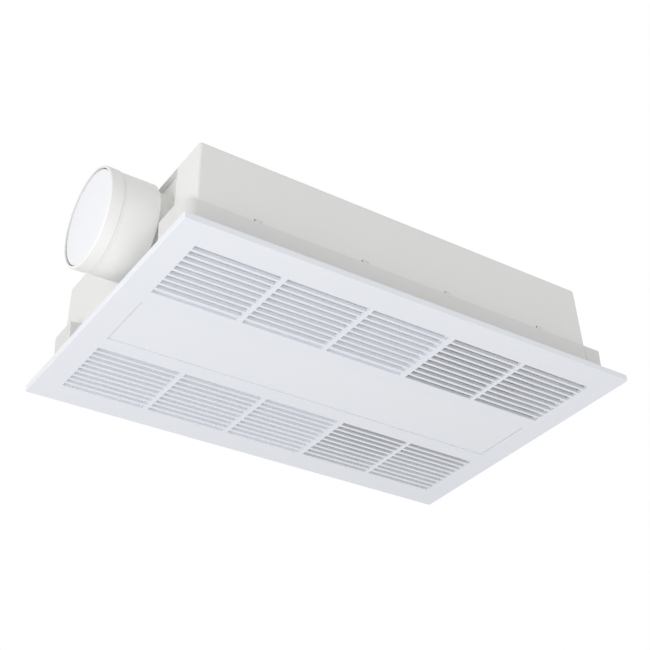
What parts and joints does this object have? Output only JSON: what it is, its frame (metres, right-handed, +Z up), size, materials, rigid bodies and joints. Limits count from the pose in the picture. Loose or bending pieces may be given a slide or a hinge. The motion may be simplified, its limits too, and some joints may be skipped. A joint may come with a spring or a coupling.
{
  "type": "bathroom ceiling heater",
  "caption": "Flush ceiling heater for a bathroom: slotted white panel, closed housing above the ceiling, and a round side duct with a back-draft flap.",
  "frame": {"origin": "centre of the ceiling opening, in the plane of the ceiling's underside, which the panel's rim meets", "axes": "+Z up into the ceiling, +X along the panel's length away from the duct, +Y across the panel to the cable gland's side"},
  "size_m": [0.6643, 0.402, 0.1441],
  "materials": {
    "panel_plastic": "semi-gloss",
    "strip_plastic": "semi-gloss",
    "shell_plastic": "satin",
    "duct_plastic": "satin",
    "flap_plastic": "satin",
    "filter_mesh": "matte",
    "wheel_plastic": "satin",
    "zinc_steel": "zinc plated",
    "core_aluminium": "satin",
    "motor_paint": "satin",
    "board_laminate": "satin",
    "dark_plastic": "satin",
    "inner_plastic": "satin",
    "lead_sheath": "matte"
  },
  "bodies": {
    "casing": {"base_frame": "shell_plastic", "upper_housing": "shell_plastic", "spring_clip_left": "zinc_steel", "spring_clip_right": "zinc_steel", "spring_clip_near": "zinc_steel", "housing_screw_1": "zinc_steel", "housing_screw_2": "zinc_steel", "housing_screw_3": "zinc_steel", "housing_screw_4": "zinc_steel", "duct_screw_1": "zinc_steel", "duct_screw_2": "zinc_steel", "duct_screw_3": "zinc_steel", "duct_adapter": "duct_plastic", "flap_pin": "zinc_steel", "exhaust_scroll": "zinc_steel", "exhaust_inlet_ring": "zinc_steel", "exhaust_motor": "motor_paint", "exhaust_motor_screw_1": "zinc_steel", "exhaust_motor_screw_2": "zinc_steel", "exhaust_motor_screw_3": "zinc_steel", "circulation_scroll": "zinc_steel", "circulation_inlet_ring": "zinc_steel", "circulation_motor": "motor_paint", "circulation_motor_screw_1": "zinc_steel", "circulation_motor_screw_2": "zinc_steel", "circulation_motor_screw_3": "zinc_steel", "outlet_duct": "zinc_steel", "heater_frame": "zinc_steel", "heater_core": "core_aluminium", "outlet_guide": "inner_plastic", "thermostat": "dark_plastic", "thermal_fuse": "inner_plastic", "control_box": "inner_plastic", "control_cover": "inner_plastic", "control_board": "board_laminate", "relay_exhaust": "dark_plastic", "relay_heater": "dark_plastic", "run_capacitor": "inner_plastic", "terminal_block": "inner_plastic", "exhaust_lead": "lead_sheath", "circulation_lead": "lead_sheath", "heater_lead": "lead_sheath", "cable_gland": "dark_plastic", "gland_nut": "dark_plastic"},
    "panel": {"front_panel": "panel_plastic", "centre_strip": "strip_plastic", "intake_filter_near": "filter_mesh", "intake_filter_far": "filter_mesh"},
    "flap": {"backdraft_flap": "flap_plastic"},
    "exhaust_fan": {"exhaust_wheel": "wheel_plastic", "exhaust_shaft": "zinc_steel", "exhaust_hub_nut": "zinc_steel"},
    "circulation_fan": {"circulation_wheel": "wheel_plastic", "circulation_shaft": "zinc_steel", "circulation_hub_nut": "zinc_steel"}
  },
  "joints": [
    {"name": "panel_drop", "type": "slide", "parent": "casing", "child": "panel", "axis": [0, 0, -1], "range_m": [0, 0.045]},
    {"name": "flap_swing", "type": "hinge", "parent": "casing", "child": "flap", "pos_m": [-0.349, -0.054, 0.0828], "axis": [0, 1, 0], "range_deg": [0, 75]},
    {"name": "exhaust_fan_spin", "type": "hinge", "parent": "casing", "child": "exhaust_fan", "pos_m": [-0.15, 0.013, 0.06], "axis": [0, 0, 1], "continuous": true},
    {"name": "circulation_fan_spin", "type": "hinge", "parent": "casing", "child": "circulation_fan", "pos_m": [0.14, 0.05803, 0.06], "axis": [0, 0, 1], "continuous": true}
  ]
}
